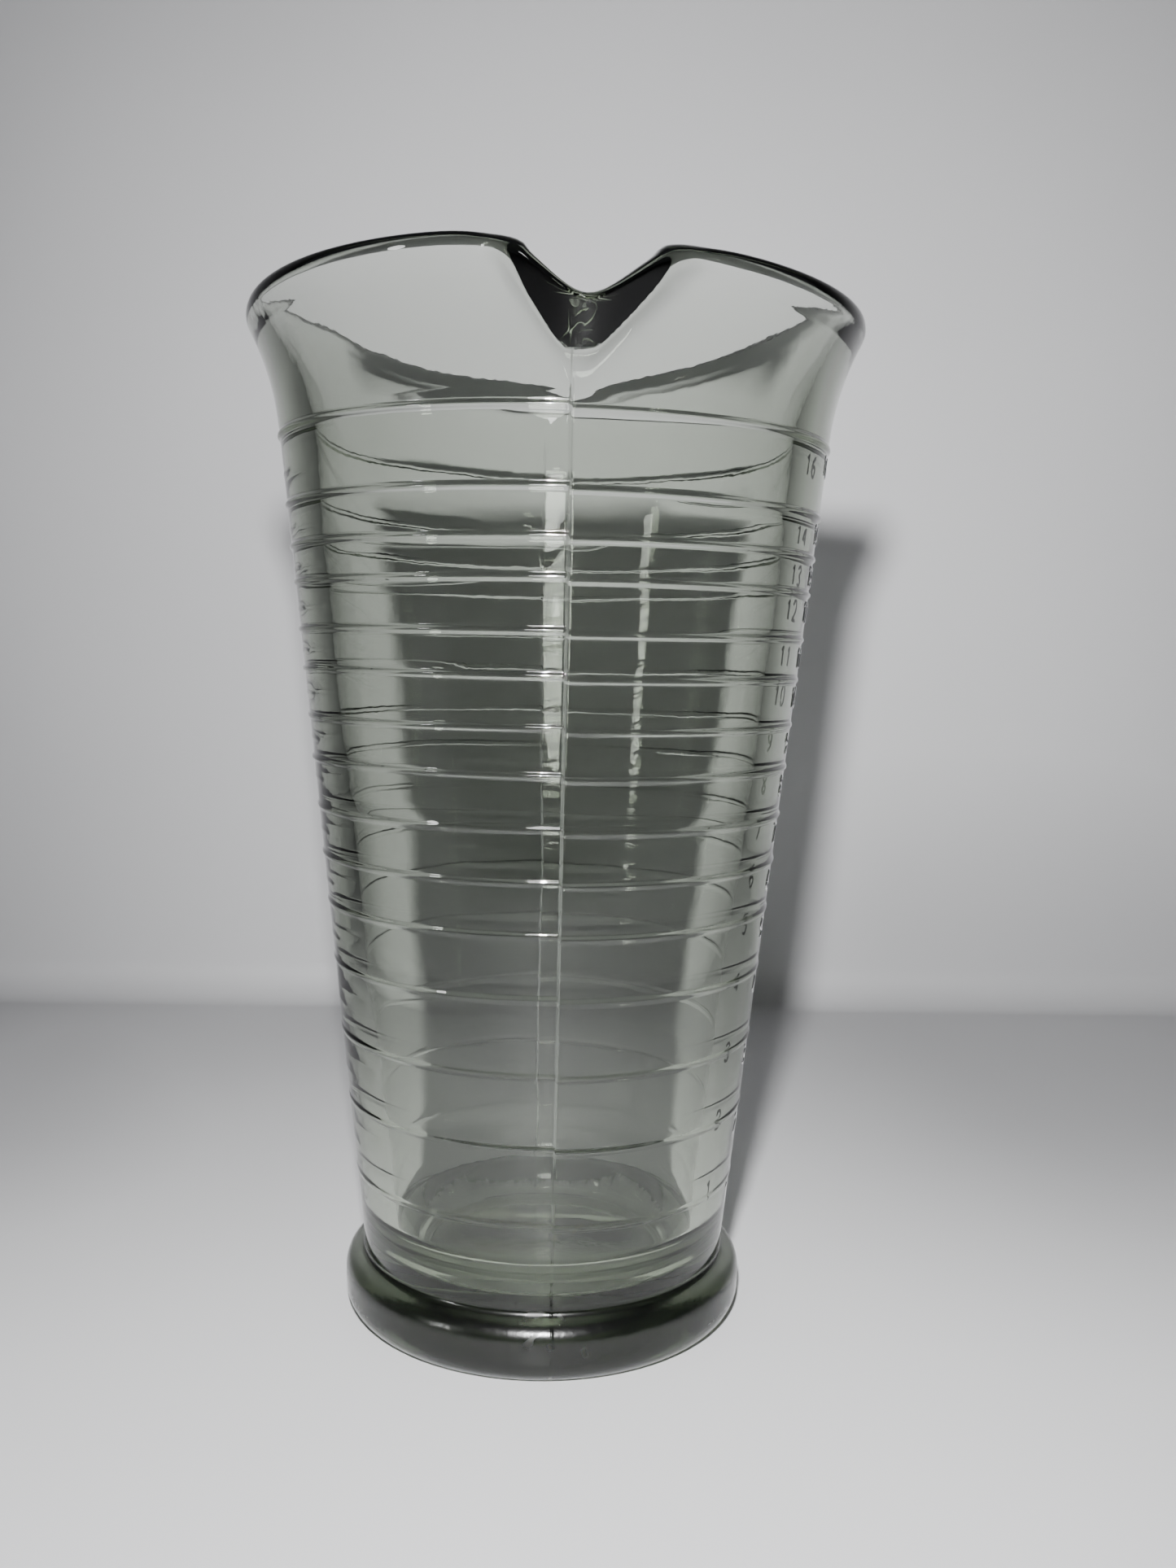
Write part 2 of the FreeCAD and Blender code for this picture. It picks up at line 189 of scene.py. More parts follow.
def lowering():
    """How far each column's marks sit below their drawn height, in mm.

    The right half of the mould is lower by the mould's step, with a short ramp at each seam.
    """
    from_front = half_turn(columns - SEAM_ANGLE)
    right = smooth_step(from_front, -0.35, 0.35) * (1 - smooth_step(np.abs(from_front), 179.65, 180))
    return (MOULD_STEP * right)[None, :]


def marks(height):
    """How far the rings and half-way marks stand out of the wall, in mm.

    Each band is a low rounded ridge: its height times (1 - (distance / half width)^2), raised to a
    power under one so that its sides are steep. Slow sine waves make a ring wander and vary.
    """
    proud = np.zeros(np.broadcast(height, angle).shape)
    for centre, depth, phase in zip(ring_heights, ring_proud, ring_wander):
        wander = 0.07 * np.sin(angle + phase[0]) + 0.05 * np.sin(3 * angle + phase[1])
        swell = 1 + 0.16 * np.sin(5 * angle + phase[2])
        off = (height - centre - wander) / RING_HALF
        proud = np.maximum(proud, depth * swell * np.clip(1 - off * off, 0, 1) ** STEEPNESS)
    from_middle = np.abs(half_turn(columns - TICK_MIDDLE))[None, :]
    taper = 1 - smooth_step(from_middle, TICK_SWEEP / 2 - 4, TICK_SWEEP / 2 + 0.2)
    for centre, depth in zip(tick_heights, tick_proud):
        off = (height - centre) / TICK_HALF
        proud = np.maximum(proud, depth * taper * np.clip(1 - off * off, 0, 1) ** STEEPNESS)
    return proud


def seam_ridge(strength=1.0):
    """Thin ridge at both mould seams: a bell curve of the angle, SEAM_PROUD high at full strength."""
    off = half_turn(2 * (columns - SEAM_ANGLE)) / 2
    return SEAM_PROUD * strength * np.exp(-((off / SEAM_HALF) ** 2))[None, :]


# %% [markdown]
# The pour lip was made by pressing the soft rim outwards over a V-shaped tool. That leaves a fold like
# the bow of a boat: a sloping keel, two flat flanks and a rounded edge between them. In numbers, the
# height of the fold over the plan is a slope along the keel plus a slope times the distance from it.
# Solved for the radius, it can be compared with the turned wall, and the larger of the two wins. The
# keel is much steeper than the channel inside, so light that enters from the front is turned back at
# the channel. That is what makes the lip of clear glass look dark.

# %% The pour lip as a fold in the wall
KEEL_SLOPE = math.tan(math.radians(35.0))
CHANNEL_SLOPE = math.tan(math.radians(13.0))
CHANNEL_RISE = 6.3
KEEL_RADIUS = 46.3
# The steep keel starts a little below the lip of the CAD, so that both reach equally far forward.
KEEL_DROP = 2.2
KEEL_HEIGHT = float(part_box("pour_lip")[0][2]) / MM - KEEL_DROP
KEEL_ROUND, CHANNEL_ROUND = 1.6, 1.3
# The right flank is less steep than the left one. The channel's flanks are a little steeper than both.
flank = 0.98 - 0.12 * np.tanh(angle / 0.07)
channel_flank = flank * 1.13
print("keel of the lip starts at", round(KEEL_HEIGHT, 1), "mm")


def fold_radius(height, keel_height, keel_slope, flank_slope, round_half):
    """Radius of a fold's face at a height and angle, in mm.

    Over the plan the face is z = keel + keel slope * (along - keel radius) + flank slope *
    (sqrt(across^2 + round_half^2) - round_half). With along = r cos(angle) and across = r sin(angle)
    that is solved for r, taking the rounding at the keel radius.
    """
    bent = np.clip(angle, -1.0, 1.0)
    spread = np.sqrt(np.sin(bent) ** 2 + (round_half / KEEL_RADIUS) ** 2)
    top = height - keel_height + keel_slope * KEEL_RADIUS + flank_slope * round_half
    return top / (flank_slope * spread + keel_slope * np.cos(bent))


def soft_max(a, b, blend):
    """The larger of two numbers, rounded where they cross: (a + b + sqrt((a - b)^2 + blend^2)) / 2."""
    return (a + b + np.sqrt((a - b) ** 2 + blend**2)) / 2


# The mouth is not level: it stands higher in front, and dips at the notch of the lip.
NECK_DIP, TOP_DIP, MOUTH_DEPTH = 7.5, 8.35, 14.9
rim_tilt = 1.75 * np.cos(angle) - 0.5 * np.sin(2 * angle)
notch_half = np.where(angle > 0, 10.4, 9.2)
notch = np.exp(-(np.abs(np.degrees(angle)) / notch_half) ** 1.75)
neck_z = NECK[1] + rim_tilt - NECK_DIP * notch
top_z = RIM_TOP[1] + rim_tilt - TOP_DIP * notch


def unlevel(height):
    """The height that a point of the mouth would have if the mouth were level."""
    return FLARE_HEIGHT + (height - FLARE_HEIGHT) * MOUTH_DEPTH / (MOUTH_DEPTH + rim_tilt)


# The turned mouth without the lip, outside and inside, as (radius, height) points.
FLARE_ARC, INNER_FLARE_ARC = 44.0, 33.0
outer_curve = arc((wall_radius(FLARE_HEIGHT), FLARE_HEIGHT), NECK, FLARE_ARC, 1, 60)
inner_start = (wall_radius(FLARE_HEIGHT) - WALL_THICKNESS, FLARE_HEIGHT)
inner_curve = np.vstack([arc(inner_start, CREASE, INNER_FLARE_ARC, 1, 60), [RIM_TOP]])


def outer_mouth(height):
    """Outer radius above the flare: the flare's arc or the lip's fold, whichever stands further out."""
    level = unlevel(height)
    turned = np.interp(level, outer_curve[:, 1], outer_curve[:, 0])
    beyond = np.maximum(level - NECK[1], 0)
    fold = fold_radius(height, KEEL_HEIGHT, KEEL_SLOPE, flank, KEEL_ROUND)
    return soft_max(turned + 0.2 * beyond, fold, 1.6)


def inner_mouth(height):
    """Inner radius above the flare: the inner arc and bevel, or the channel of the lip."""
    level = unlevel(height)
    turned = np.interp(level, inner_curve[:, 1], inner_curve[:, 0])
    beyond = np.maximum(level - RIM_TOP[1], 0)
    channel = KEEL_HEIGHT + CHANNEL_RISE
    fold = fold_radius(height, channel, CHANNEL_SLOPE, channel_flank, CHANNEL_ROUND)
    return soft_max(turned + beyond, fold, 0.5)


# %% [markdown]
# Now the skin is laid down row by row. Each block below is one stretch of the profile, given as arrays
# of radius and height with one row per line. The rim is a curve bent from the outer face over to the
# inner one, leaving each face along its own direction, so there is no ridge where they join.

# %% Rows: the profile from the underside to the floor of the cup


def spread(points):
    """A turned stretch of profile: the same (radius, height) points at every column."""
    points = np.asarray(points, float)
    ones = np.ones((1, len(columns)))
    return points[:, :1] * ones, points[:, 1:] * ones


# The foot stands on a flat ring between the two contact radii, and is a little hollow inside it.
CONTACT = (24.0, 31.4)
POLE_RADIUS = 1.5
HOLLOW = 2.0
under_r = np.linspace(POLE_RADIUS, CONTACT[0], 12)
dome = np.column_stack([under_r, HOLLOW * np.cos(math.pi / 2 * under_r / CONTACT[0]) ** 1.5])
heel = arc((CONTACT[1], 0), (FOOT_RADIUS, 3.8), 4.2, -1, 11)
brow = arc((FOOT_RADIUS, 6.8), (32.8, 9.4), 3.42, -1, 12)
shelf = np.array([(32.4, 9.62), (31.9, 9.88)])
throat = arc((31.6, 10.03), (wall_radius(11.3), 11.3), 1.3, 1, 8)
foot_profile = np.vstack([dome, [(28.0, 0)], heel, [(FOOT_RADIUS, 5.0)], brow, shelf, throat])
foot_r, foot_z = spread(foot_profile)
foot_r = foot_r + seam_ridge(0.7) * smooth_step(foot_z, 0.6, 2.5)

# The tapered wall, with rows crowded round each ring and each half-way mark.
beside_ring = np.array([0.22, 0.42, 0.58, 0.85])
ring_fan = np.concatenate([-beside_ring[::-1], [0], beside_ring])
half_way_fan = np.array([-0.45, -0.3, 0, 0.3, 0.45])
wall_rows = np.concatenate([
    np.arange(12.4, FLARE_HEIGHT, 3.0),
    (ring_heights[:, None] + ring_fan).ravel(),
    (tick_heights[:, None] + half_way_fan).ravel(),
])
wall_rows = np.unique(wall_rows)
wall_rows = wall_rows[np.concatenate([[True], np.diff(wall_rows) > 0.1])]
drawn = wall_rows[:, None]
ease = smooth_step(drawn, 11, 16) * (1 - smooth_step(drawn, 146.9, FLARE_HEIGHT + 2))
wall_z = drawn - lowering() * ease
ripple = 0.05 * np.sin(2 * angle + 0.6) + 0.04 * np.sin(5 * angle + drawn / 19)
wall_r = wall_radius(wall_z) + ripple * ease + marks(drawn) + seam_ridge()

# The flared mouth outside, up to the neck of the rim.
run = np.linspace(0, 1, 40)[1:, None]
mouth_z = FLARE_HEIGHT + 0.6 + run * (neck_z - FLARE_HEIGHT - 0.6)
seam_fade = 1 - smooth_step(mouth_z, 151, 155)
mouth_r = outer_mouth(mouth_z) + seam_ridge() * seam_fade

# The flared mouth inside, from the top of the rim down past the crease of its bevel.
crease_at = (CREASE[1] - FLARE_HEIGHT) / (RIM_TOP[1] - FLARE_HEIGHT)
near_crease = crease_at + np.array([0.03, 0.012, 0, -0.012, -0.03])
lining = np.concatenate([np.linspace(1, crease_at + 0.05, 6), near_crease, np.linspace(0.76, 0, 26)])
lining_z = FLARE_HEIGHT + lining[:, None] * (top_z - FLARE_HEIGHT)
lining_r = inner_mouth(lining_z)


def direction(r, z):
    """Unit direction along the profile between two neighbouring rows, at every column."""
    step = np.stack([r[1] - r[0], z[1] - z[0]])
    return step / np.hypot(*step)


# The rim: a cubic curve from the neck to the lining, pulled out along both faces.
leave = direction(mouth_r[-2:], mouth_z[-2:])
arrive = direction(lining_r[:2], lining_z[:2])
start = np.stack([mouth_r[-1], mouth_z[-1]])
end = np.stack([lining_r[0], lining_z[0]])
pull = (0.72 - 0.25 * notch) * np.hypot(*(end - start))
along = np.linspace(0, 1, 15)[1:-1, None, None]
rim = (
    (1 - along) ** 3 * start
    + 3 * (1 - along) ** 2 * along * (start + pull * leave)
    + 3 * (1 - along) * along**2 * (end - pull * arrive)
    + along**3 * end
)
rim_r, rim_z = rim[:, 0], rim[:, 1]

# The inside of the cup: a slightly wavy wall, the rounded corner and the faintly dished floor.
corner_z = FLOOR_HEIGHT + FLOOR_CORNER
inside_z = np.linspace(FLARE_HEIGHT, corner_z, 46)[1:-1, None]
inside_wave = 0.10 * np.sin(2 * angle + 2.1 + inside_z / 40) + 0.05 * np.sin(inside_z / 6.3 + angle)
inside_wave = inside_wave * smooth_step(inside_z, corner_z, corner_z + 12)
inside_wave = inside_wave * (1 - smooth_step(inside_z, 136, FLARE_HEIGHT))
inside_r = wall_radius(inside_z) - WALL_THICKNESS + inside_wave
corner_r = wall_radius(corner_z) - WALL_THICKNESS
corner = arc((corner_r, corner_z), (corner_r - FLOOR_CORNER, FLOOR_HEIGHT), FLOOR_CORNER, -1, 12)
floor_r = np.linspace(corner_r - FLOOR_CORNER, POLE_RADIUS, 12)[1:]
cup_floor = np.column_stack([floor_r, np.full(len(floor_r), FLOOR_HEIGHT)])
cup_r, cup_z = spread(np.vstack([corner, cup_floor]))
cup_z = cup_z - FLOOR_DISH * (1 - smooth_step(cup_r, 6, 22))

radius = np.vstack([foot_r, wall_r, mouth_r, rim_r, lining_r, inside_r, cup_r])
height = np.vstack([
    foot_z, wall_z, mouth_z, rim_z, lining_z, inside_z * np.ones_like(angle), cup_z,
])
print(radius.shape[0], "rows: foot", len(foot_r), "wall", len(wall_r), "mouth", len(mouth_r))

# %% [markdown]
# The grid becomes a mesh in one go: every vertex at once, every face at once. The two open ends of the
# grid are closed with a single vertex each, in the middle of the underside and of the cup's floor. A
# closed skin matters for glass, because the shader decides from it what is inside and what is outside.

# %% Make the skin


def closed_grid(name, points, first_pole, last_pole):
    """Mesh of a grid of points that closes round its columns, with a fan to a pole at either end.

    points has one row per line and wraps from the last column to the first. Faces are counted
    so that they look outwards when rows run up the outside and columns run anticlockwise.
    """
    rows, cols = points.shape[:2]
    here = np.arange(cols)
    beside = np.roll(here, -1)
    starts = (np.arange(rows - 1) * cols)[:, None]
    quads = np.stack([starts + here, starts + beside, starts + cols + beside, starts + cols + here], -1)
    first, last = rows * cols, rows * cols + 1
    top = (rows - 1) * cols
    fans = np.concatenate([
        np.column_stack([np.full(cols, first), beside, here]),
        np.column_stack([top + here, top + beside, np.full(cols, last)]),
    ])
    mesh = bpy.data.meshes.new(name)
    co = np.vstack([points.reshape(-1, 3), first_pole, last_pole])
    mesh.from_pydata(co.tolist(), [], quads.reshape(-1, 4).tolist() + fans.tolist())
    mesh.polygons.foreach_set("use_smooth", np.ones(len(mesh.polygons), bool))
    mesh.validate()
    mesh.update()
    obj = bpy.data.objects.new(name, mesh)
    bpy.context.scene.collection.objects.link(obj)
    return obj


def enclosed_volume(obj):
    """Volume inside a closed mesh in cubic mm: a sixth of the sum of its triangles' triple products."""
    mesh = obj.data
    mesh.calc_loop_triangles()
    tri = np.empty(3 * len(mesh.loop_triangles), int)
    mesh.loop_triangles.foreach_get("vertices", tri)
    co = np.empty(3 * len(mesh.vertices))
    mesh.vertices.foreach_get("co", co)
    a, b, c = co.reshape(-1, 3)[tri.reshape(-1, 3)].transpose(1, 0, 2)
    return float(np.einsum("ij,ij->i", a, np.cross(b, c)).sum() / 6 / MM**3)


skin_points = np.stack([radius * np.sin(angle), -radius * np.cos(angle), height], -1) * MM
skin = closed_grid(
    "glass_measure",
    skin_points,
    [[0, 0, HOLLOW * MM]],
    [[0, 0, (FLOOR_HEIGHT - FLOOR_DISH) * MM]],
)
volume = round(enclosed_volume(skin))
print("skin:", len(skin.data.loop_triangles), "triangles,", volume, "cubic mm of glass")
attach(skin, "root")
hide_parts("foot_ring", "glass_body", "pour_lip", "graduation_rings", "half_graduations",
            "mould_seams")

# %% [markdown]
# The numerals beside the rings were punched into the mould with small stamps, so on the glass they stand
# out as thin rounded strokes. Each one is a swept profile: a flat-backed half round carried along the
# path of the digit, wrapped on to the cone of the wall. All digits are computed as one array.

# %% Numerals
DIGITS = {
    "0": [(0, 0.25), (0, 0.75), (0.3, 1), (0.7, 1), (1, 0.75), (1, 0.25), (0.7, 0), (0.3, 0), (0, 0.25)],
    "1": [(0.2, 0.78), (0.6, 1), (0.6, 0)],
    "2": [(0, 0.75), (0.25, 1), (0.75, 1), (1, 0.75), (0.9, 0.5), (0, 0), (1, 0)],
    "3": [(0, 0.85), (0.3, 1), (0.7, 1), (1, 0.78), (0.5, 0.53), (1, 0.25), (0.7, 0), (0.3, 0), (0, 0.15)],
    "4": [(0.75, 0), (0.75, 1), (0, 0.3), (1, 0.3)],
    "5": [(0.95, 1), (0.1, 1), (0.05, 0.55), (0.6, 0.62), (1, 0.32), (0.7, 0), (0, 0.08)],
    "6": [(0.85, 1), (0.25, 0.75), (0, 0.3), (0.3, 0), (0.7, 0), (1, 0.3), (0.7, 0.55), (0.08, 0.45)],
    "7": [(0, 1), (1, 1), (0.35, 0)],
    "8": [(0.5, 0.53), (0, 0.78), (0.3, 1), (0.7, 1), (1, 0.78), (0, 0.25), (0.3, 0), (0.7, 0),
          (1, 0.25), (0.5, 0.53)],
    "9": [(0.15, 0), (0.75, 0.25), (1, 0.7), (0.7, 1), (0.3, 1), (0, 0.7), (0.3, 0.45), (0.92, 0.55)],
}
OUNCES = [1, 2, 3, 4, 5, 6, 7, 8, 9, 10, 11, 12, 13, 14, 16]
CELL_WIDE, CELL_HIGH, PITCH, STROKE = 2.3, 3.7, 3.2, 0.55
RELIEF, SUNK = 0.16, 0.04
DROP = 1.0
FIRST_DIGIT_ANGLE = 70.0


def pen_path(points, count=44):
    """A stroke's path through the points of a unit cell, at even steps, with its corners eased."""
    points = np.array(points, float)
    length = np.concatenate([[0], np.cumsum(np.hypot(*np.diff(points, axis=0).T))])
    even = np.linspace(0, length[-1], count)
    path = np.column_stack([np.interp(even, length, points[:, k]) for k in (0, 1)])
    for _ in range(2):
        path[1:-1] = (path[:-2] + 2 * path[1:-1] + path[2:]) / 4
    return path


paths, offsets, bases = [], [], []
for ounces, ring in zip(OUNCES, ring_heights):
    for place, digit in enumerate(str(ounces)):
        paths.append(pen_path(DIGITS[digit]))
        offsets.append((place - 0.5) * PITCH)
        bases.append(ring - MOULD_STEP - DROP - CELL_HIGH)
paths = np.array(paths)
side = np.array(offsets)[:, None] + STROKE / 2 + paths[..., 0] * (CELL_WIDE - STROKE)
rise = np.array(bases)[:, None] + STROKE / 2 + paths[..., 1] * (CELL_HIGH - STROKE)
along_side, along_rise = np.gradient(side, axis=1), np.gradient(rise, axis=1)
stride = np.hypot(along_side, along_rise)
along_side, along_rise = along_side / stride, along_rise / stride
travel = np.linspace(0, 1, paths.shape[1])
blunt = np.sqrt(np.clip(1 - (1 - np.clip(np.minimum(travel, 1 - travel) / 0.045, 0, 1)) ** 2, 0.02, 1))
turn = np.linspace(0, 2 * math.pi, 12, endpoint=False)
across = (STROKE / 2) * np.cos(turn)
out = np.where(np.sin(turn) > 0, RELIEF, SUNK) * np.sin(turn)
across = across * blunt[:, None]
out = np.where(out > 0, out * blunt[:, None], out)
s = side[..., None] - along_rise[..., None] * across
z = rise[..., None] + along_side[..., None] * across
r = wall_radius(z) + out
bearing = math.radians(FIRST_DIGIT_ANGLE) + s / wall_radius(z)
numeral_points = np.stack([r * np.sin(bearing), -r * np.cos(bearing), z], -1) * MM
digits, steps, sides = numeral_points.shape[:3]
print(digits, "digits of", steps, "steps")


def tubes(name, points):
    """Closed tubes in one mesh, from points[tube, step, side], with a cap across either end."""
    count, steps, sides = points.shape[:3]
    here = np.arange(sides)
    beside = np.roll(here, -1)
    starts = (np.arange(steps - 1) * sides)[:, None]
    quads = np.stack([starts + here, starts + sides + here, starts + sides + beside, starts + beside], -1)
    offsets = (np.arange(count) * steps * sides)[:, None, None]
    quads = (quads.reshape(1, -1, 4) + offsets).reshape(-1, 4)
    caps = np.stack([here, here[::-1] + (steps - 1) * sides])[None] + offsets
    mesh = bpy.data.meshes.new(name)
    mesh.from_pydata(points.reshape(-1, 3).tolist(), [], quads.tolist() + caps.reshape(-1, sides).tolist())
    mesh.polygons.foreach_set("use_smooth", np.ones(len(mesh.polygons), bool))
    mesh.update()
    obj = bpy.data.objects.new(name, mesh)
    bpy.context.scene.collection.objects.link(obj)
    return obj


numerals = tubes("scale_numerals_relief", numeral_points)
print("numerals enclose", round(enclosed_volume(numerals), 1), "cubic mm")
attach(numerals, "root")
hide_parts("scale_numerals")

# %% [markdown]
# Shader maths reads badly as a heap of nodes and links. This small wrapper lets sockets be added,
# multiplied and compared like numbers, and `node` makes any other node. It changes nothing in Blender:
# each operator simply adds one Math node and links it.

# %% A wrapper for shader sockets


class Socket:
    """One output of a shader node, with arithmetic that adds Math nodes to its material."""

    def __init__(self, tree, output):
        self.tree, self.output = tree, output

    def node(self, kind, inputs=None, output=0, **settings):
        """Any node: its settings, its inputs by name or number, and the output to go on with."""
        made = self.tree.nodes.new(kind)
        for key, value in settings.items():
            setattr(made, key, value)
        for key, value in (inputs or {}).items():
            if isinstance(value, Socket):
                self.tree.links.new(value.output, made.inputs[key])
            else:
                made.inputs[key].default_value = value
        return Socket(self.tree, made.outputs[output])

    def math(self, operation, *others, clamp=False):
        values = {0: self, **{i + 1: other for i, other in enumerate(others)}}
        return self.node("ShaderNodeMath", values, operation=operation, use_clamp=clamp)

    def __add__(self, other):
        return self.math("ADD", other)

    def __sub__(self, other):
        return self.math("SUBTRACT", other)

    def __rsub__(self, other):
        return self.node("ShaderNodeMath", {0: other, 1: self}, operation="SUBTRACT")

    def __mul__(self, other):
        return self.math("MULTIPLY", other)

    def __truediv__(self, other):
        return self.math("DIVIDE", other)

    def __rtruediv__(self, other):
        return self.node("ShaderNodeMath", {0: other, 1: self}, operation="DIVIDE")

    __radd__, __rmul__ = __add__, __mul__

    def ramp(self, low, high):
        """0 below low and 1 above high, with a smooth way between them."""
        return self.node("ShaderNodeMapRange", {"Value": self, "From Min": low, "From Max": high},
                         interpolation_type="SMOOTHSTEP")


def new_material(name):
    """An empty material with its output node, and a way in to its object coordinates."""
    material = bpy.data.materials.new(name)
    material.use_nodes = True
    tree = material.node_tree
    tree.nodes.clear()
    out = tree.nodes.new("ShaderNodeOutputMaterial")
    place = Socket(tree, tree.nodes.new("ShaderNodeTexCoord").outputs["Object"])
    return material, tree, out, place


# %% [markdown]
# Old pressed glass is not white. A trace of iron tints it green, which hardly shows across the wall but
# darkens the thick rim, lip and foot, because light runs along inside them. So the tint is an absorbing
# volume and not a surface colour. The skin is fire-polished but softly uneven, which a bump of two
# scales gives. The foot is pebbled and frosted by wear. A dried yellowish residue lies on the floor of
# the cup and in a few small spots near the front seam.

# %% The glass
CLEAR = (0.965, 0.972, 0.962, 1)
RESIDUE = (0.80, 0.74, 0.50, 1)
GREEN_TINT, TINT_DENSITY = (0.695, 0.73, 0.66, 1), 150.0
A_COLOUR, B_COLOUR, MIXED = 6, 7, 2


def glass_material(name, stained):
    """Clear glass with a green absorbing volume; stained adds the residue and the worn foot."""
    material, tree, out, place = new_material(name)
    split = place.node("ShaderNodeSeparateXYZ", {0: place})
    x, y, z = (Socket(tree, split.output.node.outputs[k]) for k in range(3))
    swell = place.node("ShaderNodeTexNoise", {"Vector": place, "Scale": 55.0, "Detail": 1.0})
    orange_peel = place.node("ShaderNodeTexNoise", {"Vector": place, "Scale": 420.0, "Detail": 2.0})
    pebble = place.node("ShaderNodeTexNoise", {"Vector": place, "Scale": 620.0, "Detail": 2.0})
    on_foot = z.ramp(0.0, 0.003) * (1 - z.ramp(0.0096, 0.0110))
    bump = place.node(
        "ShaderNodeBump",
        {"Height": swell * 1.0 + orange_peel * 0.05 + pebble * on_foot * 0.4, "Strength": 0.3,
         "Distance": 0.0005},
    )
    glass = tree.nodes.new("ShaderNodeBsdfPrincipled")
    glass.inputs["IOR"].default_value = 1.52
    glass.inputs["Transmission Weight"].default_value = 1.0
    glass.inputs["Roughness"].default_value = 0.02
    glass.inputs["Base Color"].default_value = CLEAR
    tree.links.new(bump.output, glass.inputs["Normal"])
    if stained:
        from_axis = (x * x + y * y).math("SQRT")
        pool_noise = place.node("ShaderNodeTexNoise", {"Vector": place, "Scale": 130.0, "Detail": 3.0})
        off = ((x + 0.009) * (x + 0.009) + (y - 0.004) * (y - 0.004)).math("SQRT")
        pool = 1 - (off + pool_noise * 0.010).ramp(0.0125, 0.0165)
        on_floor = z.ramp(0.0088, 0.0101) * (1 - z.ramp(0.0118, 0.0133))
        on_floor = on_floor * (1 - from_axis.ramp(0.024, 0.026))
        specks = place.node("ShaderNodeTexNoise", {"Vector": place, "Scale": 330.0, "Detail": 2.0})
        by_seam = 1 - (y + 0.0345).math("ABSOLUTE").ramp(0.002, 0.006)
        low_down = (1 - z.ramp(0.012, 0.045)) * (1 - x.math("ABSOLUTE").ramp(0.003, 0.008)) * by_seam
        stain = (pool * on_floor * 0.55 + specks.ramp(0.60, 0.70) * low_down * 0.8).math("MINIMUM", 1.0)
        tint = place.node("ShaderNodeMix", {"Factor": stain, A_COLOUR: CLEAR, B_COLOUR: RESIDUE},
                          output=MIXED, data_type="RGBA")
        tree.links.new(tint.output, glass.inputs["Base Color"])
        frosting = z.ramp(0.0040, 0.0065) * (1 - z.ramp(0.0104, 0.0112)) * from_axis.ramp(0.0305, 0.0312)
        rough = 0.015 + stain * 0.35 + frosting * 0.22
        tree.links.new(rough.output, glass.inputs["Roughness"])
    green = tree.nodes.new("ShaderNodeVolumeAbsorption")
    green.inputs["Color"].default_value = GREEN_TINT
    green.inputs["Density"].default_value = TINT_DENSITY
    tree.links.new(glass.outputs[0], out.inputs["Surface"])
    tree.links.new(green.outputs[0], out.inputs["Volume"])
    return material


skin.data.materials.append(glass_material("pressed_glass", True))
numerals.data.materials.append(glass_material("numeral_glass", False))
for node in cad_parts.values():
    node.data.materials.clear()
    node.data.materials.append(numerals.data.materials[0])
print("glass on", skin.name, "and", numerals.name)

# %% [markdown]
# The measure stands on pale cloth that runs back and curves up behind it. One swept sheet does both, so
# there is no hard corner behind the glass. The sheet is turned with the camera, and it is only a stage,
# not part of the object.

# %% Stage
VIEW_TURN = math.radians(-3.94)
BACK = 0.206
# Centre of the pool of light painted on the cloth, and the cloth's painted lit tone and painted shade
# tone.
PAINTED_LIGHT_CENTRE = (0.09, 0.0, 0.13)
PALE_LIT_TONE, PAINTED_SHADE_TONE = (0.72, 0.72, 0.735, 1), (0.19, 0.19, 0.20, 1)


def stage_sheet():
    """Floor and backdrop as one sheet: flat, then a quarter circle of 12 mm radius, then upright."""
    bend = 0.012
    turn = np.linspace(0, math.pi / 2, 14)
    flat = np.column_stack([np.linspace(-0.9, BACK - bend, 20), np.zeros(20)])
    corner = np.column_stack([BACK - bend + bend * np.sin(turn), bend - bend * np.cos(turn)])[1:]
    upright = np.column_stack([np.full(12, BACK), np.linspace(bend, 0.9, 12)])[1:]
    profile = np.vstack([flat, corner, upright])
    wide = np.linspace(-0.9, 0.9, 40)
    x = np.broadcast_to(wide[:, None], (len(wide), len(profile)))
    y = np.broadcast_to(profile[:, 0], x.shape)
    z = np.broadcast_to(profile[:, 1], x.shape)
    c, s = math.cos(VIEW_TURN), math.sin(VIEW_TURN)
    points = np.stack([x * c - y * s, x * s + y * c, z], -1)
    rows, cols = x.shape
    index = np.arange(rows * cols).reshape(rows, cols)
    quads = np.stack([index[:-1, :-1], index[1:, :-1], index[1:, 1:], index[:-1, 1:]], -1)
    mesh = bpy.data.meshes.new("studio_sheet")
    mesh.from_pydata(points.reshape(-1, 3).tolist(), [], quads.reshape(-1, 4).tolist())
    mesh.polygons.foreach_set("use_smooth", np.ones(len(mesh.polygons), bool))
    sheet = bpy.data.objects.new("studio_sheet", mesh)
    bpy.context.scene.collection.objects.link(sheet)
    return sheet


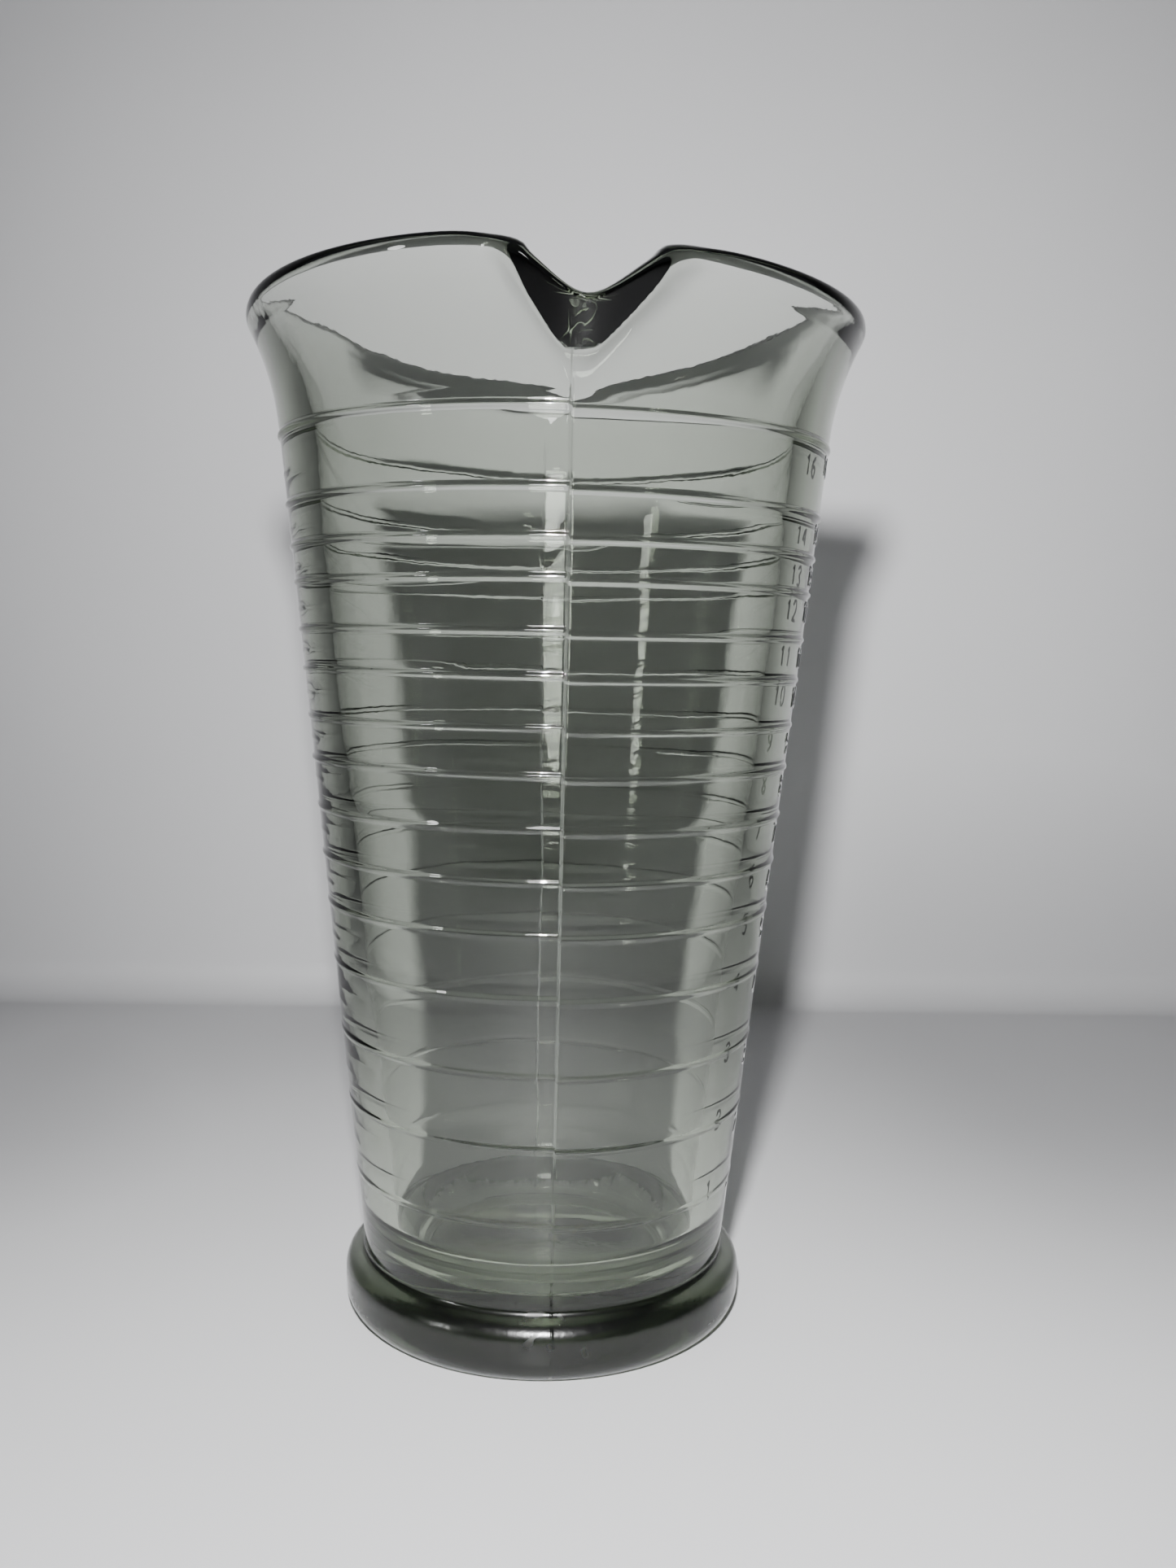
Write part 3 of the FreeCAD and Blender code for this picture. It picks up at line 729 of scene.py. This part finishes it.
def cloth_material():
    """Matt pale cloth with painted light: a painted pool of light beside the measure, and painted shade
    far out and low down at both sides.
    """
    material, tree, out, place = new_material("pale_cloth")
    drift = place.node("ShaderNodeTexNoise", {"Vector": place, "Scale": 4.0, "Detail": 2.0})
    from_middle = place.node("ShaderNodeVectorMath", {0: place, 1: PAINTED_LIGHT_CENTRE}, output=1,
                             operation="DISTANCE")
    # Painted light: the colour falls off from a painted pool of light round one spot to painted shade
    # further out.
    painted_falloff = (from_middle + drift * 0.10).ramp(0.16, 0.55)
    split = place.node("ShaderNodeSeparateXYZ", {0: place})
    x, y, z = (Socket(tree, split.output.node.outputs[k]) for k in range(3))
    # Painted shade: darker low down at both sides, towards the bend and on the far floor.
    aside = x.math("ABSOLUTE").ramp(0.03, 0.13)
    far_back = y.ramp(-0.06, 0.09)
    low_down = 1 - z.ramp(0.01, 0.14)
    painted_falloff = painted_falloff.math("MAXIMUM", aside * far_back * low_down * 0.5)
    painted_shading = place.node("ShaderNodeMix", {"Factor": painted_falloff, A_COLOUR: PALE_LIT_TONE, B_COLOUR: PAINTED_SHADE_TONE},
                       output=MIXED, data_type="RGBA")
    cloth = tree.nodes.new("ShaderNodeBsdfPrincipled")
    cloth.inputs["Roughness"].default_value = 0.6
    tree.links.new(painted_shading.output, cloth.inputs["Base Color"])
    tree.links.new(cloth.outputs[0], out.inputs["Surface"])
    return material


sheet = stage_sheet()
sheet.data.materials.append(cloth_material())
print("cloth sheet stands", round(BACK / MM), "mm behind the axis")

# %% [markdown]
# The light is what makes glass readable. A small bright lamp just above the camera gives the sharp
# sparks on the rings and the crisp shadow behind. A panel beside it and a strip far to the left give
# the two upright streaks, and they are kept off the cloth so that the shadow stays dark. A soft lamp
# from above fills the rest, and the world adds a little grey so that no reflection is black.

# %% Lights


def area_lamp(name, place, aim, wide, high, watts, on_cloth=True):
    """An oval lamp of a size in metres at a place, turned to face a point.

    With on_cloth off it shows in the glass but doesn't light the cloth.
    """
    data = bpy.data.lights.new(name, "AREA")
    data.shape, data.size, data.size_y, data.energy = "ELLIPSE", wide, high, watts
    lamp = bpy.data.objects.new(name, data)
    lamp.location = place
    lamp.visible_diffuse = on_cloth
    lamp.rotation_euler = (Vector(aim) - Vector(place)).to_track_quat("-Z", "Y").to_euler()
    bpy.context.scene.collection.objects.link(lamp)
    return lamp


area_lamp("key_lamp", (-0.0265, -0.2397, 0.181), (0, 0, 0.175), 0.016, 0.020, 2.7)
area_lamp("key_panel", (-0.030, -0.26, 0.195), (0, 0, 0.13), 0.075, 0.130, 0.45, on_cloth=False)
area_lamp("side_strip", (-0.86, -0.50, 0.30), (0, 0, 0.12), 0.10, 0.30, 1.5, on_cloth=False)
area_lamp("soft_top", (0.10, -0.25, 0.75), (0, 0.05, 0.05), 0.5, 0.5, 0.08)
world = bpy.data.worlds.new("studio")
world.use_nodes = True
world.node_tree.nodes["Background"].inputs["Color"].default_value = (0.9, 0.92, 1.0, 1)
world.node_tree.nodes["Background"].inputs["Strength"].default_value = 0.11
world.cycles_visibility.diffuse = False
bpy.context.scene.world = world

# %% [markdown]
# The camera stands close, a little above the middle of the measure and tipped down by five and a half
# degrees, with its lip turned slightly to the right. Close and level is what makes the mouth look wide
# and the foot small. The place and the turn are given in the measure's own frame.

# %% Camera
DISTANCE, EYE_HEIGHT = 0.24122, 0.11331
SENSOR, LENS_PER_SENSOR = 36.0, 0.9014
TILT, YAW, ROLL = (math.radians(a) for a in (5.49, 1.54, 1.06))
ahead = Vector((math.sin(YAW) * math.cos(TILT), math.cos(YAW) * math.cos(TILT), -math.sin(TILT)))
right = Vector((math.cos(YAW), -math.sin(YAW), 0))
up = right.cross(ahead)
rolled_right = math.cos(ROLL) * right + math.sin(ROLL) * up
rolled_up = -math.sin(ROLL) * right + math.cos(ROLL) * up
axes = Matrix((rolled_right, rolled_up, -ahead)).transposed().to_4x4()
camera_data = bpy.data.cameras.new("camera")
camera_data.sensor_width = SENSOR
camera_data.lens = SENSOR * LENS_PER_SENSOR
camera = bpy.data.objects.new("camera", camera_data)
spin = Matrix.Rotation(VIEW_TURN, 4, "Z")
camera.matrix_world = spin @ Matrix.Translation((0, -DISTANCE, EYE_HEIGHT)) @ axes
camera_data.clip_start = 0.01
bpy.context.scene.collection.objects.link(camera)
bpy.context.scene.camera = camera
print("camera at", [round(c, 4) for c in camera.location])
